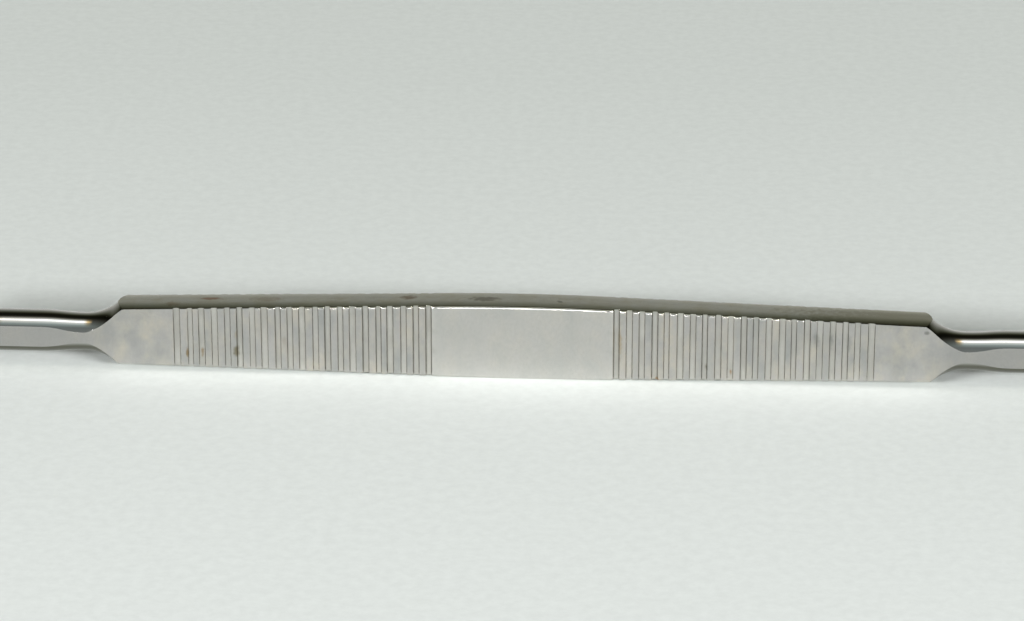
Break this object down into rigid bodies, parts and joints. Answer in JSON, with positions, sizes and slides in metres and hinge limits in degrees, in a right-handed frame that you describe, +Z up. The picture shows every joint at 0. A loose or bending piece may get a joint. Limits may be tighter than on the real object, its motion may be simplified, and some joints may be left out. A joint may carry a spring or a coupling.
{
  "type": "septum elevator",
  "caption": "Double-ended septum elevator with a flat tapered handle, cross-grooved grip, plain middle panel, turned waists and shanks, and a blunt and a sharp flat blade.",
  "frame": {"origin": "on the standing surface, under the middle of the handle", "axes": "+X along the instrument towards the blunt blade, +Y through the handle's thickness, +Z up the handle's width, away from the narrow side it stands on"},
  "size_m": [0.1904, 0.006, 0.0082],
  "materials": {
    "stainless_steel": "satin ground broad faces, darker drawn narrow sides, polished turned shanks and blades"
  },
  "bodies": {
    "root": {"double_ended_elevator": "stainless_steel"}
  },
  "joints": []
}
